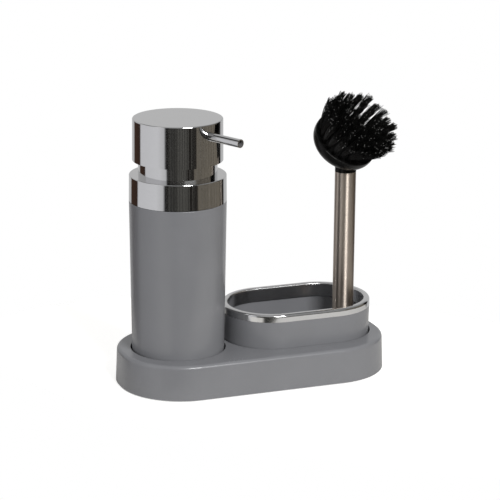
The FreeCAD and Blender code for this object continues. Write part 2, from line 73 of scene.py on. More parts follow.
def middle(node):
    """Half way between the lowest and the highest corner of a node's box."""
    low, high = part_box(node)
    return (low + high) / 2


tray_middle = middle("tray_shell")
brush_axis = middle("brush_handle")
handle_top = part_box("brush_handle")[1].z
print("tray middle", tuple(round(v, 4) for v in tray_middle), "handle top", round(handle_top, 4))

# %% [markdown]
# ## The camera
# The photographed set is seen from a little to its left and from slightly above, through a long lens.
# A camera could be aimed with a constraint, but three unit vectors make its matrix directly: back points
# from the set to the camera, right lies level, and up completes them. A small roll turns right towards up.

# %% Camera
VIEW_AZIMUTH = math.radians(-20.573)
VIEW_ELEVATION = math.radians(16.201)
VIEW_ROLL = math.radians(0.464)
VIEW_DISTANCE = 1418.79 * MM
LOOK_SIDE, LOOK_HEIGHT = -1.081 * MM, 88.356 * MM
SENSOR_MM, IMAGE_PIXELS, FOCAL_PIXELS = 36.0, 500.0, 2062.88


def away(azimuth, elevation):
    """Unit vector from the set towards an azimuth, counted from the front, and an elevation."""
    return Vector((
        math.sin(azimuth) * math.cos(elevation),
        -math.cos(azimuth) * math.cos(elevation),
        math.sin(elevation),
    ))


def level_side(azimuth):
    """Level unit vector that points right when the set is looked at from an azimuth."""
    return Vector((math.cos(azimuth), math.sin(azimuth), 0))


def stand(place, right, up, back):
    """Matrix that puts an object at a place, with three unit vectors as its own X, Y and Z."""
    return Matrix.Translation(place) @ Matrix((right, up, back)).transposed().to_4x4()


view_back = away(VIEW_AZIMUTH, VIEW_ELEVATION)
level_right = level_side(VIEW_AZIMUTH)
level_up = view_back.cross(level_right)
view_right = level_right * math.cos(VIEW_ROLL) + level_up * math.sin(VIEW_ROLL)
view_up = level_up * math.cos(VIEW_ROLL) - level_right * math.sin(VIEW_ROLL)
look_at = Vector((tray_middle.x + LOOK_SIDE, tray_middle.y, LOOK_HEIGHT))

camera_data = bpy.data.cameras.new("camera")
camera_data.sensor_width = SENSOR_MM
camera_data.lens = SENSOR_MM * FOCAL_PIXELS / IMAGE_PIXELS
camera = bpy.data.objects.new("camera", camera_data)
bpy.context.scene.collection.objects.link(camera)
camera.matrix_world = stand(look_at + view_back * VIEW_DISTANCE, view_right, view_up, view_back)
bpy.context.scene.camera = camera
print("lens", round(camera_data.lens, 1), "mm, camera at", tuple(round(v, 3) for v in camera.location))

# %% [markdown]
# ## Shader maths as Python
# A finish is a small sum: noise times a strength plus a base value. Drawing that as nodes by hand takes a
# page of links, so one class wraps a socket and lets Python's operators add the Math nodes. A second class
# holds a node tree and adds any other node from its type, its settings and its socket values.

# %% Shader maths


def connect(tree, slot, value):
    """Link a signal into a socket, or set the socket's own value."""
    if isinstance(value, Signal):
        tree.links.new(value.socket, slot)
    elif isinstance(value, (tuple, list)) and len(value) == 3 and slot.type == "RGBA":
        slot.default_value = (*value, 1.0)
    else:
        slot.default_value = value


class Signal:
    """One value in a shader: operators on it add Math nodes, so 1 - mask reads as it looks."""

    def __init__(self, tree, socket):
        self.tree, self.socket = tree, socket

    def maths(self, operation, *values):
        node = self.tree.nodes.new("ShaderNodeMath")
        node.operation = operation
        for slot, value in zip(node.inputs, values):
            connect(self.tree, slot, value)
        return Signal(self.tree, node.outputs[0])

    def __add__(self, other):
        return self.maths("ADD", self, other)

    def __sub__(self, other):
        return self.maths("SUBTRACT", self, other)

    def __rsub__(self, other):
        return self.maths("SUBTRACT", other, self)

    def __mul__(self, other):
        return self.maths("MULTIPLY", self, other)

    def __truediv__(self, other):
        return self.maths("DIVIDE", self, other)

    def __rtruediv__(self, other):
        return self.maths("DIVIDE", other, self)

    __radd__ = __add__
    __rmul__ = __mul__


class Sheet:
    """A node tree, cleared, to which nodes are added one call at a time."""

    def __init__(self, tree):
        self.tree = tree
        tree.nodes.clear()

    def add(self, kind, settings=None, inputs=None, output=0):
        """Add a node of a type, apply its settings, fill its sockets, and return one or more outputs."""
        node = self.tree.nodes.new(kind)
        for key, value in (settings or {}).items():
            if key == "stops":
                ramp_stops(node.color_ramp, value)
            else:
                setattr(node, key, value)
        for key, value in (inputs or {}).items():
            connect(self.tree, node.inputs[key], value)
        if isinstance(output, tuple):
            return [Signal(self.tree, node.outputs[name]) for name in output]
        return Signal(self.tree, node.outputs[output]) if node.outputs else None

    def step(self, value, low, high, start=0.0, end=1.0):
        """Smooth step: start below low, end above high, and an S-shaped curve between."""
        settings = {"interpolation_type": "SMOOTHSTEP"}
        names = ("Value", "From Min", "From Max", "To Min", "To Max")
        return self.add("ShaderNodeMapRange", settings, dict(zip(names, (value, low, high, start, end))))

    def blend(self, share, first, second):
        """Colour between two colours by a share."""
        return self.add("ShaderNodeMix", {"data_type": "RGBA"}, {0: share, 6: first, 7: second}, 2)

    def vectors(self, operation, first, second, output="Vector"):
        """Vector maths on two vectors or two colours."""
        return self.add("ShaderNodeVectorMath", {"operation": operation}, {0: first, 1: second}, output)

    def scale(self, colour, factor):
        """Colour times a number."""
        return self.add("ShaderNodeVectorMath", {"operation": "SCALE"}, {0: colour, "Scale": factor})


def ramp_stops(ramp, stops):
    """Fill a colour ramp with (position, colour) stops."""
    while len(ramp.elements) > 1:
        ramp.elements.remove(ramp.elements[-1])
    for number, (position, colour) in enumerate(stops):
        element = ramp.elements[0] if number == 0 else ramp.elements.new(position)
        element.position = position
        element.color = (*colour, 1.0)


print("shader helpers ready")

# %% [markdown]
# ## Common parts of every finish
# All patterns read Object coordinates. Every node's object sits at the origin, so one metre in the pattern
# is one metre on the piece, and a grain keeps its size from piece to piece. The finish ends in a Principled
# shader, where plain numbers go on the sockets and only what varies is linked.

# %% Finish helpers


def new_finish(name):
    """A new material and its cleared node sheet."""
    material = bpy.data.materials.new(name)
    material.use_nodes = True
    return material, Sheet(material.node_tree)


def grain(sheet, scale, stretch=(1, 1, 1), detail=2.0, roughness=0.5):
    """Noise between 0 and 1 on Object coordinates.

    Scale is in waves a metre, and stretch multiplies it along each axis."""
    coordinates = sheet.add("ShaderNodeTexCoord", output="Object")
    placed = sheet.add("ShaderNodeMapping", inputs={"Vector": coordinates, "Scale": stretch})
    settings = {"noise_dimensions": "3D"}
    sockets = {"Vector": placed, "Scale": scale, "Detail": detail, "Roughness": roughness}
    return sheet.add("ShaderNodeTexNoise", settings, sockets, "Fac")


def relief(sheet, height, depth):
    """Bumped normal from a height between 0 and 1 and its depth in metres."""
    return sheet.add("ShaderNodeBump", inputs={"Strength": 1.0, "Distance": depth, "Height": height})


def surface(sheet, sockets):
    """Principled shader with these sockets, joined to the material's output."""
    shader = sheet.add("ShaderNodeBsdfPrincipled", inputs=sockets)
    sheet.add("ShaderNodeOutputMaterial", inputs={"Surface": shader})


def dress(material, *names):
    """Put one material on CAD nodes, in place of the plain colour that they came with."""
    for name in names:
        slots = nodes[name].data.materials
        slots.clear()
        slots.append(material)
    print(material.name, "on", ", ".join(names))


print("finish helpers ready")

# %% [markdown]
# ## Grey plastic
# The tray, the bottle and the cup are moulded in one mid grey with a satin gloss. A flat grey would look
# like paint, so two noises work on it: a slow one for the faint clouding of the melt, and a fine one for
# the skin that the mould leaves. Both also move the roughness, which breaks up the soft reflections.

# %% Grey plastic
GREY_LOW, GREY_HIGH = (0.190, 0.193, 0.204), (0.216, 0.219, 0.231)
GREY_SMOOTHEST, GREY_CLOUD_HAZE, GREY_SKIN_HAZE = 0.20, 0.06, 0.05
GREY_CLOUD_SCALE, GREY_SKIN_SCALE = 45.0, 2600.0
GREY_IOR, MOULD_SKIN_DEPTH = 1.47, 0.004 * MM


def grey_plastic():
    """Grey, clouded by a slow noise, with a fine moulded skin in the bump and in the roughness."""
    material, sheet = new_finish("grey_plastic")
    cloud = grain(sheet, GREY_CLOUD_SCALE, detail=3.0)
    skin = grain(sheet, GREY_SKIN_SCALE, detail=1.0)
    surface(sheet, {
        "Base Color": sheet.blend(cloud, GREY_LOW, GREY_HIGH),
        "Roughness": GREY_SMOOTHEST + GREY_CLOUD_HAZE * cloud + GREY_SKIN_HAZE * skin,
        "IOR": GREY_IOR,
        "Normal": relief(sheet, skin, MOULD_SKIN_DEPTH),
    })
    return material


dress(grey_plastic(), "tray_shell", "bottle_shell", "bottle_neck", "cup_body")

# %% [markdown]
# ## Chrome plate
# The cap, its collar, the spout and the cup's rim are plated. Chrome is nearly a mirror, so what one sees
# is the room. What makes it look real is that plated plastic is never quite flat: a slow, very shallow
# wave bends the reflections, and a thin haze from wiping varies the roughness. The rim's inner side, which
# is hard to reach with a polishing wheel, is duller, and the plating doesn't reach into the spout's bore.

# %% Chrome plate
PLATE_LOW, PLATE_HIGH = (0.60, 0.60, 0.605), (0.64, 0.64, 0.645)
PLATE_POLISH, RIM_POLISH, WIPED_HAZE = 0.07, 0.10, 0.035
PLATE_WAVE_SCALE, PLATE_WAVE_DEPTH = 60.0, 0.008 * MM
WIPED_SCALE, WIPED_STRETCH, WIPED_EDGE = 240.0, (1, 1, 3), (0.45, 0.8)


def facing_in(sheet, centre, reach):
    """1 on faces that look inwards: the normal, times the way from the centre, is below minus the reach."""
    coordinates = sheet.add("ShaderNodeTexCoord", output="Object")
    normal = sheet.add("ShaderNodeTexCoord", output="Normal")
    way = sheet.vectors("SUBTRACT", coordinates, tuple(centre))
    outwards = sheet.vectors("DOT_PRODUCT", way, normal, "Value")
    return sheet.step(outwards, -reach, -reach / 2, 1.0, 0.0)


def chrome_plate(name, polish, inside=None):
    """Bright metal, with a slow wave in the bump and a wiped haze in the roughness.

    Inside gives a centre and a reach, and the colour, metal and roughness of the faces that look inwards."""
    material, sheet = new_finish(name)
    wave = grain(sheet, PLATE_WAVE_SCALE, detail=1.0)
    haze = grain(sheet, WIPED_SCALE, WIPED_STRETCH, detail=4.0, roughness=0.65)
    colour = sheet.blend(haze, PLATE_LOW, PLATE_HIGH)
    roughness = polish + WIPED_HAZE * sheet.step(haze, *WIPED_EDGE)
    metal = 1.0
    if inside:
        inner = facing_in(sheet, inside["centre"], inside["reach"])
        colour = sheet.blend(inner, colour, inside["colour"])
        roughness = roughness + inner * (inside["roughness"] - polish)
        if inside["metal"] < metal:
            metal = 1 - inner * (1 - inside["metal"])
    surface(sheet, {
        "Base Color": colour,
        "Metallic": metal,
        "Roughness": roughness,
        "Normal": relief(sheet, wave, PLATE_WAVE_DEPTH),
    })
    return material


rim_inside = {
    "centre": middle("cup_rim"), "reach": 12 * MM,
    "colour": (0.62, 0.62, 0.625), "metal": 1.0, "roughness": 0.23,
}
spout_inside = {
    "centre": middle("spout_tube"), "reach": 1.5 * MM,
    "colour": (0.17, 0.17, 0.175), "metal": 0.0, "roughness": 0.45,
}
dress(chrome_plate("chrome_plate", PLATE_POLISH), "collar", "pump_cap")
dress(chrome_plate("spout_plate", PLATE_POLISH, spout_inside), "spout_tube")
dress(chrome_plate("rim_plate", RIM_POLISH, rim_inside), "cup_rim")

# %% [markdown]
# ## Brushed steel
# The brush's handle is a stainless tube, slightly warm in colour. A tube is brushed while it spins, so the
# lines run round it: noise squeezed flat along Z. Such lines scatter light up and down but hardly sideways,
# so every wall and lamp is drawn out into an upright band. The anisotropic gloss does that; a quarter turn
# of it makes the long way of the gloss follow the tube.

# %% Brushed steel
STEEL_LOW, STEEL_HIGH = (0.46, 0.40, 0.345), (0.55, 0.485, 0.425)
STEEL_SMOOTHEST, BRUSHED_LINE_HAZE, BRUSHED_BAND_HAZE = 0.36, 0.06, 0.04
BRUSHED_LINE_SCALE, BRUSHED_LINE_STRETCH = 2400.0, (0.02, 0.02, 1)
BRUSHED_BAND_SCALE, BRUSHED_BAND_STRETCH = 160.0, (0.15, 0.15, 1)
GLOSS_DRAWN_OUT, QUARTER_TURN = 0.95, 0.25


def brushed_steel():
    """Warm steel brushed round: noise stretched fifty times in X and Y, and a gloss stretched along Z."""
    material, sheet = new_finish("brushed_steel")
    lines = grain(sheet, BRUSHED_LINE_SCALE, BRUSHED_LINE_STRETCH, detail=3.0, roughness=0.7)
    bands = grain(sheet, BRUSHED_BAND_SCALE, BRUSHED_BAND_STRETCH, detail=2.0)
    surface(sheet, {
        "Base Color": sheet.blend(lines, STEEL_LOW, STEEL_HIGH),
        "Metallic": 1.0,
        "Roughness": STEEL_SMOOTHEST + BRUSHED_LINE_HAZE * lines + BRUSHED_BAND_HAZE * bands,
        "Anisotropic": GLOSS_DRAWN_OUT,
        "Anisotropic Rotation": QUARTER_TURN,
    })
    return material


dress(brushed_steel(), "brush_handle")

# %% [markdown]
# ## Black plastic and rubber
# The brush's head and the plug in its handle are black mouldings with a soft sheen. The feet and the pump's
# gasket are rubber: duller, with a coarser skin. One recipe serves both, with different numbers.

# %% Black plastic and rubber
DULL_SPECULAR = 0.14
DARK_CLOUD_SCALE, DARK_SKIN_HAZE = 120.0, 0.12


def dark_moulding(name, low, high, shine, skin_scale, skin_depth):
    """Dark colour between low and high by a slow noise, with a skin of a given scale and depth."""
    material, sheet = new_finish(name)
    cloud = grain(sheet, DARK_CLOUD_SCALE, detail=3.0)
    skin = grain(sheet, skin_scale, detail=2.0)
    surface(sheet, {
        "Base Color": sheet.blend(cloud, low, high),
        "Roughness": shine + DARK_SKIN_HAZE * skin,
        "Specular IOR Level": DULL_SPECULAR,
        "Normal": relief(sheet, skin, skin_depth),
    })
    return material


black_plastic = dark_moulding(
    "black_plastic", low=(0.004, 0.004, 0.004), high=(0.008, 0.008, 0.0075),
    shine=0.22, skin_scale=1500.0, skin_depth=0.006 * MM,
)
soft_rubber = dark_moulding(
    "soft_rubber", low=(0.030, 0.030, 0.031), high=(0.046, 0.046, 0.046),
    shine=0.62, skin_scale=900.0, skin_depth=0.02 * MM,
)
dress(black_plastic, "brush_head", "handle_end_plug")
dress(soft_rubber, "tray_feet", "housing_gasket")

# %% [markdown]
# ## Inside the pump
# Nobody sees these until the pump is lifted out, but they are real pieces: milky white mouldings, a suction
# tube that lets more light in, and a spring and two balls of bright steel. Real light through the walls would
# need clear shells, so a little scattering below the skin stands in for it.

# %% Pump finishes
MILKY_SMOOTHEST, MILKY_SKIN_HAZE = 0.34, 0.08
MILKY_CLOUD_SCALE, MILKY_SKIN_SCALE = 90.0, 1800.0
MILKY_LIGHT_REACH = 0.8 * MM
BRIGHT_LOW, BRIGHT_HIGH = (0.50, 0.50, 0.50), (0.62, 0.62, 0.61)
BRIGHT_SMOOTHEST, BRIGHT_HAZE, BRIGHT_HAZE_SCALE = 0.16, 0.10, 1400.0


def milky_plastic(name, low, high, through):
    """Pale plastic that lets some light in below its skin."""
    material, sheet = new_finish(name)
    cloud = grain(sheet, MILKY_CLOUD_SCALE, detail=2.0)
    skin = grain(sheet, MILKY_SKIN_SCALE, detail=1.0)
    surface(sheet, {
        "Base Color": sheet.blend(cloud, low, high),
        "Roughness": MILKY_SMOOTHEST + MILKY_SKIN_HAZE * skin,
        "Subsurface Weight": through,
        "Subsurface Scale": MILKY_LIGHT_REACH,
        "Normal": relief(sheet, skin, MOULD_SKIN_DEPTH),
    })
    return material


def bright_steel():
    """Drawn and ground steel: cool grey metal with a fine, even haze."""
    material, sheet = new_finish("bright_steel")
    haze = grain(sheet, BRIGHT_HAZE_SCALE, detail=3.0)
    surface(sheet, {
        "Base Color": sheet.blend(haze, BRIGHT_LOW, BRIGHT_HIGH),
        "Metallic": 1.0,
        "Roughness": BRIGHT_SMOOTHEST + BRIGHT_HAZE * haze,
    })
    return material


pump_plastic = milky_plastic("pump_plastic", low=(0.74, 0.74, 0.71), high=(0.80, 0.80, 0.78), through=0.15)
milky_tube = milky_plastic("milky_tube", low=(0.66, 0.69, 0.69), high=(0.73, 0.76, 0.76), through=0.3)
dress(pump_plastic, "collar_insert", "pump_housing", "stem_guide", "piston", "piston_stem", "actuator_core")
dress(milky_tube, "dip_tube")
dress(bright_steel(), "inlet_ball", "outlet_ball", "pump_spring")

# %% [markdown]
# ## Wire and filament
# The spring and the bristles are both thin round stock along a line, so the same helpers serve them: a ring
# of points is carried along each line, and both ends are closed. A curve with a bevel could do it too, but
# arrays make thousands of filaments at once and put them in one mesh. A number that is kept for each vertex
# can be read back by a finish.

# %% Wire helpers
# A slanting direction that no wire and no filament follows.
OFF_AXIS = np.array((0.31, 0.83, 0.46))


def unit(vectors):
    """Vectors scaled to length one."""
    return vectors / np.linalg.norm(vectors, axis=-1, keepdims=True)


def side_axes(aims):
    """Two unit vectors square to each aim and to each other, by two cross products."""
    first = unit(np.cross(aims, OFF_AXIS))
    return first, np.cross(aims, first)


def tubes(lines, radius, sides):
    """Closed thin tubes: line + radius * (first side * cos + second side * sin), with a cap at both ends."""
    count, points = lines.shape[:2]
    first, second = side_axes(unit(np.gradient(lines, axis=1)))
    turn = 2 * math.pi * np.arange(sides) / sides
    rings = first[:, :, None] * np.cos(turn)[:, None] + second[:, :, None] * np.sin(turn)[:, None]
    vertices = (lines[:, :, None] + rings * radius).reshape(-1, 3)
    index = np.arange(count * points * sides).reshape(count, points, sides)
    after = np.roll(index, -1, axis=2)
    walls = np.stack([index[:, :-1], after[:, :-1], after[:, 1:], index[:, 1:]], -1).reshape(-1, 4)
    caps = np.concatenate([index[:, 0, ::-1], index[:, -1]])
    return vertices, walls.tolist() + caps.tolist()


def mesh_piece(name, vertices, faces, smooth):
    """An object from an array of vertices and a list of faces."""
    mesh = bpy.data.meshes.new(name)
    mesh.from_pydata(vertices, [], faces)
    mesh.polygons.foreach_set("use_smooth", np.full(len(faces), smooth))
    mesh.update()
    piece = bpy.data.objects.new(name, mesh)
    bpy.context.scene.collection.objects.link(piece)
    return piece


def point_values(piece, name, values):
    """Keep a named number for each vertex of a piece."""
    piece.data.attributes.new(name, "FLOAT", "POINT").data.foreach_set("value", values)


def read_values(sheet, name):
    """The numbers of that name, as a signal in a finish."""
    return sheet.add("ShaderNodeAttribute", {"attribute_name": name}, output="Fac")


print("wire helpers ready")

# %% [markdown]
# ## Return spring
# The spring in the CAD model keeps its length, but the real one is pressed together when the cap goes down.
# A wire stands in for it here. Its pitch closes towards both ends, as on a spring that
# has to stand flat, and its radius, length and place come from the CAD spring's box. The share of its length
# that it would keep when the cap's joint travels its full way is worked out and printed.

# %% Return spring
SPRING_WIRE_R = 0.45 * MM
SPRING_TURNS, SPRING_CLOSING = 6, 0.11
SPRING_POINTS, SPRING_SIDES = 193, 10


def spring_line(low, high):
    """Helix in a box: height = length * (share - closing * sine of a full turn of the share)."""
    share = np.linspace(0, 1, SPRING_POINTS)
    turn = 2 * math.pi * SPRING_TURNS * share
    radius = (high.x - low.x) / 2 - SPRING_WIRE_R
    rise = share - SPRING_CLOSING * np.sin(2 * math.pi * share)
    across = (low.x + high.x) / 2 + radius * np.cos(turn)
    along = (low.y + high.y) / 2 + radius * np.sin(turn)
    height = low.z + SPRING_WIRE_R + (high.z - low.z - 2 * SPRING_WIRE_R) * rise
    return np.stack([across, along, height], -1)


spring_low, spring_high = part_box("pump_spring")
spring_tube = tubes(spring_line(spring_low, spring_high)[None], SPRING_WIRE_R, SPRING_SIDES)
spring_wire = mesh_piece("spring_wire", *spring_tube, True)
spring_wire.data.materials.append(bpy.data.materials["bright_steel"])
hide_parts("pump_spring")
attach(spring_wire, "engine")
joints = frame["record"]["behaviour"]["joints"]
press = next(joint["range_m"][1] for joint in joints if joint["name"] == "head_press")
spring_keep = 1 - press / (spring_high.z - spring_low.z)
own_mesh(spring_wire)
print("spring keeps", round(spring_keep, 3), "of its length")

# %% [markdown]
# ## Bristles
# The CAD model has one plain cone for each tuft. On the real brush a tuft is over fifty stiff nylon
# filaments that leave one hole and spread. Hair particles would do it, but they don't export as a mesh, so
# every filament is a thin tube worked out with numpy: a centre line as a function of the share along it,
# and a square ring round each of its points. All filaments are computed at once as one array.

# %% Tuft places
HEAD_TILT, HEAD_TURN = math.radians(42.0), math.radians(16.5)
HEAD_R, NECK_SHOW = 23.0 * MM, 7.55 * MM
TUFT_RINGS, FIRST_RING = 4, 6
RING_STEP = 4.8 * MM
TUFT_FLARE = math.radians(20.8)

face_across = np.array((math.cos(HEAD_TURN), math.sin(HEAD_TURN), 0))
face_ahead = np.array((math.sin(HEAD_TURN), -math.cos(HEAD_TURN), 0))
face_normal = face_ahead * math.sin(HEAD_TILT) + np.array((0, 0, math.cos(HEAD_TILT)))
face_up = np.cross(face_normal, face_across)
face_middle = np.array((brush_axis.x, brush_axis.y, handle_top + NECK_SHOW + HEAD_R * math.sin(HEAD_TILT)))


def tuft_places():
    """Foot and unit direction of each tuft: a centre one, then rings whose tilt grows with their radius."""
    ring = np.concatenate([[0]] + [np.full(FIRST_RING * r, r) for r in range(1, TUFT_RINGS + 1)])
    step = np.concatenate([[0]] + [np.arange(FIRST_RING * r) for r in range(1, TUFT_RINGS + 1)])
    angle = 2 * math.pi * (step + (ring % 2) / 2) / np.maximum(FIRST_RING * ring, 1)
    outward = np.cos(angle)[:, None] * face_across + np.sin(angle)[:, None] * face_up
    tilt = (TUFT_FLARE * ring / TUFT_RINGS)[:, None]
    feet = face_middle + outward * (RING_STEP * ring)[:, None]
    return feet, outward * np.sin(tilt) + face_normal * np.cos(tilt)


tuft_feet, tuft_aims = tuft_places()
print("tufts", len(tuft_feet))

# %% Filaments
FILAMENTS = 56
FILAMENT_R = 0.17 * MM
FILAMENT_LENGTH = 19.8 * MM
ROOT_DEPTH = 2.0 * MM
ROOT_R, TIP_R = 1.15 * MM, 2.5 * MM
SWEEP_ACROSS, SWEEP_DOWN = 0.09, 0.085
POINTS, SIDES = 6, 4
PLACE_SPREAD, FRAME_SPREAD, BEND_SPREAD = 0.05, 0.035, 0.022
TUFT_AIM_SPREAD, FILAMENT_AIM_SPREAD = 0.03, 0.018
TUFT_LENGTH_SPREAD, FILAMENT_LENGTH_SPREAD = 0.025, 0.012
GOLDEN_TURN = math.pi * (3 - math.sqrt(5))
BRISTLE_SEED = 11
draw = np.random.default_rng(BRISTLE_SEED)


def filament_lines():
    """Centre lines: foot + length * (share * aim + share squared * bend), spread evenly over a disc.

    The place of a filament in its tuft follows the sunflower rule, radius by the root of its number and
    angle by the golden turn, and the same place, enlarged, is where its tip goes."""
    count = len(tuft_feet)
    each = (count, FILAMENTS)
    number = np.arange(FILAMENTS) + 0.5
    radius = np.sqrt(number / FILAMENTS) + draw.normal(0, PLACE_SPREAD, each)
    angle = number * GOLDEN_TURN + draw.uniform(0, 2 * math.pi, (count, 1))
    first, second = side_axes(unit(tuft_aims + draw.normal(0, FRAME_SPREAD, tuft_aims.shape)))
    across, upward = (np.cos(angle) * radius)[..., None], (np.sin(angle) * radius)[..., None]
    place = across * first[:, None] + upward * second[:, None]
    aim = tuft_aims[:, None] + draw.normal(0, TUFT_AIM_SPREAD, (count, 1, 3))
    aim = aim + draw.normal(0, FILAMENT_AIM_SPREAD, (*each, 3))
    tuft_change = draw.normal(0, TUFT_LENGTH_SPREAD, (count, 1))
    length = FILAMENT_LENGTH * (1 + tuft_change + draw.normal(0, FILAMENT_LENGTH_SPREAD, each))
    spread = place * (TIP_R - ROOT_R) / FILAMENT_LENGTH
    bend = SWEEP_ACROSS * face_across - SWEEP_DOWN * face_up + draw.normal(0, BEND_SPREAD, (*each, 3))
    share = np.linspace(-ROOT_DEPTH / FILAMENT_LENGTH, 1, POINTS)[None, None, :, None]
    along = share * (aim + spread)[:, :, None] + np.maximum(share, 0) ** 2 * bend[:, :, None]
    lines = (tuft_feet[:, None] + place * ROOT_R)[:, :, None] + along * length[:, :, None, None]
    return lines.reshape(-1, POINTS, 3)


filament_vertices, filament_faces = tubes(filament_lines(), FILAMENT_R, SIDES)
bristles = mesh_piece("bristles", filament_vertices, filament_faces, False)
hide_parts("bristle_tufts")
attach(bristles, "brush")
strands = len(tuft_feet) * FILAMENTS
strand_share = np.tile(np.repeat(np.linspace(0, 1, POINTS), SIDES), strands)
strand_lot = np.repeat(draw.uniform(0, 1, strands), POINTS * SIDES)
point_values(bristles, "share", strand_share)
point_values(bristles, "lot", strand_lot)
print("filaments", strands, "faces", len(filament_faces))

# %% [markdown]
# ## Bristle finish
# The filaments are black nylon. The light that some of the cut tips catch is painted on them as pale dots, a
# painted highlight. A pattern in space can't know where a tip is, so the finish reads two numbers that the
# vertices keep: the share along the filament, and one lot that is drawn for each filament and picks those
# that show it.

# %% Bristle finish
NYLON_LOW, NYLON_HIGH = (0.003, 0.003, 0.003), (0.007, 0.007, 0.0065)
NYLON_SMOOTHEST, NYLON_SPECK_HAZE, NYLON_SPECK_SCALE = 0.30, 0.14, 700.0
# The pale tip colour is a painted highlight: it stands in for the light that some cut tips catch.
TIP_HIGHLIGHT_PAINT = (0.42, 0.42, 0.41)
TIP_HIGHLIGHT_SHARE, TIP_HIGHLIGHT_LOT = (0.97, 1.0), (0.93, 0.94)


def black_nylon():
    """Black nylon, with a painted highlight in pale colour on the tips of some filaments: share is 1 at a
    tip, lot is drawn for each one.
    """
    material, sheet = new_finish("black_nylon")
    speck = grain(sheet, NYLON_SPECK_SCALE, detail=2.0)
    share, lot = read_values(sheet, "share"), read_values(sheet, "lot")
    # Painted highlight: pale colour on the last part of the filaments that the lot picks.
    painted_tip_highlight = sheet.step(share, *TIP_HIGHLIGHT_SHARE) * sheet.step(lot, *TIP_HIGHLIGHT_LOT)
    black = sheet.blend(speck, NYLON_LOW, NYLON_HIGH)
    surface(sheet, {
        "Base Color": sheet.blend(painted_tip_highlight, black, TIP_HIGHLIGHT_PAINT),
        "Roughness": NYLON_SMOOTHEST + NYLON_SPECK_HAZE * speck,
        "Specular IOR Level": DULL_SPECULAR,
    })
    return material


bristles.data.materials.append(black_nylon())
print("black_nylon on bristles")

# %% [markdown]
# ## The studio
# Chrome shows the room, so the room matters more here than the lamps. The set stands on an oval white table
# top. The plated sides are seen from above, so they mirror what lies lower down: the table and, past its
# edge, the room round it. That is a pale wall on the left, a dim warm one on the right, darkness round the
# camera, and the white background behind. One colour ramp over the compass angle paints all of it into the
# world, noise along the same angle adds thin upright lines to the dim side, and a few soft patches mend
# single places. The camera itself sees plain white there.

# %% Room
ROOM = [
    (-180, (0.61, 0.61, 0.61)), (-142, (0.61, 0.61, 0.61)), (-138, (0.06, 0.034, 0.024)),
    (-108, (0.045, 0.027, 0.02)), (-105, (0.74, 0.74, 0.76)), (-50, (0.79, 0.79, 0.81)),
    (-33, (0.66, 0.66, 0.67)), (-28, (0.012, 0.012, 0.012)), (-20, (0.014, 0.014, 0.013)),
    (-18, (0.05, 0.049, 0.046)), (0, (0.04, 0.039, 0.036)), (3, (0.085, 0.083, 0.076)),
    (28, (0.07, 0.068, 0.062)), (31, (0.018, 0.016, 0.014)), (48, (0.018, 0.016, 0.014)),
    (51, (0.17, 0.151, 0.122)), (118, (0.21, 0.184, 0.146)), (121, (0.012, 0.011, 0.010)),
    (137, (0.012, 0.011, 0.010)), (141, (0.61, 0.61, 0.61)), (180, (0.61, 0.61, 0.61)),
]
LINES, LINE_DETAIL, LINE_SHADE = 48.0, 2.0, 0.78
LINE_COLOUR = (0.10, 0.097, 0.088)
LINE_DARK, LINE_PALE = (0.36, 0.46), (0.54, 0.64)
DIM_START, DIM_END = (-27.0, -25.2), (118.8, 122.4)
CEILING, CEILING_LEAN, CEILING_BACK = (0.43, 0.43, 0.43), 0.6, 0.40
CEILING_HEIGHTS = (0.30, 0.55)
PATCHES = [
    ((18, 60), (0.0, 0.42), (0.36, 0.36, 0.35)),  # a lighter front above the horizon
    ((-146, -100), (0.02, 0.60), (0.61, 0.61, 0.61)),  # pale above the brown strip
    ((-138, -96), (0.55, 0.83), (0.05, 0.05, 0.05)),  # the dark line along the spout
    ((-52, -11), (-0.60, -0.26), (0.97, 0.95, 0.90)),  # the bright corner of the rim
]
PATCH_EDGE, PATCH_BLUR = 9 / 360, 0.05


def compass_share(angle):
    """Share of the full turn that lies below an angle between -180 and 180 degrees."""
    return (angle + 180) / 360


def paint_walls(sheet, compass):
    """Wall colour: a ramp over the compass, with thin dark and pale upright lines on its dim side."""
    stops = [(compass_share(angle), colour) for angle, colour in ROOM]
    walls = sheet.add("ShaderNodeValToRGB", {"stops": stops}, {"Fac": compass})
    sockets = {"W": compass * LINES, "Detail": LINE_DETAIL}
    lines = sheet.add("ShaderNodeTexNoise", {"noise_dimensions": "1D"}, sockets, "Fac")
    start, end = map(compass_share, DIM_START), map(compass_share, DIM_END)
    dim_side = sheet.step(compass, *start) * (1 - sheet.step(compass, *end))
    shade = 1 - LINE_SHADE * dim_side * (1 - sheet.step(lines, *LINE_DARK))
    pale = sheet.scale(LINE_COLOUR, dim_side * sheet.step(lines, *LINE_PALE))
    return sheet.vectors("ADD", sheet.scale(walls, shade), pale)


def paint_ceiling(sheet, east, north):
    """Ceiling colour: even, dimmer towards the right and brighter towards the back."""
    right = east.maths("MAXIMUM", east, 0.0)
    back = north.maths("MAXIMUM", north, 0.0)
    return sheet.scale(CEILING, 1 - CEILING_LEAN * right + CEILING_BACK * back)


def paint_patch(sheet, compass, height, colour, angles, heights, paint):
    """Paint over a part of the room, soft at its edges: between two angles and between two heights."""
    start, end = map(compass_share, angles)
    foot, top = heights
    across = sheet.step(compass, start, start + PATCH_EDGE) * (1 - sheet.step(compass, end - PATCH_EDGE, end))
    upright = sheet.step(height, foot, foot + PATCH_BLUR) * (1 - sheet.step(height, top - PATCH_BLUR, top))
    return sheet.blend(across * upright, colour, paint)


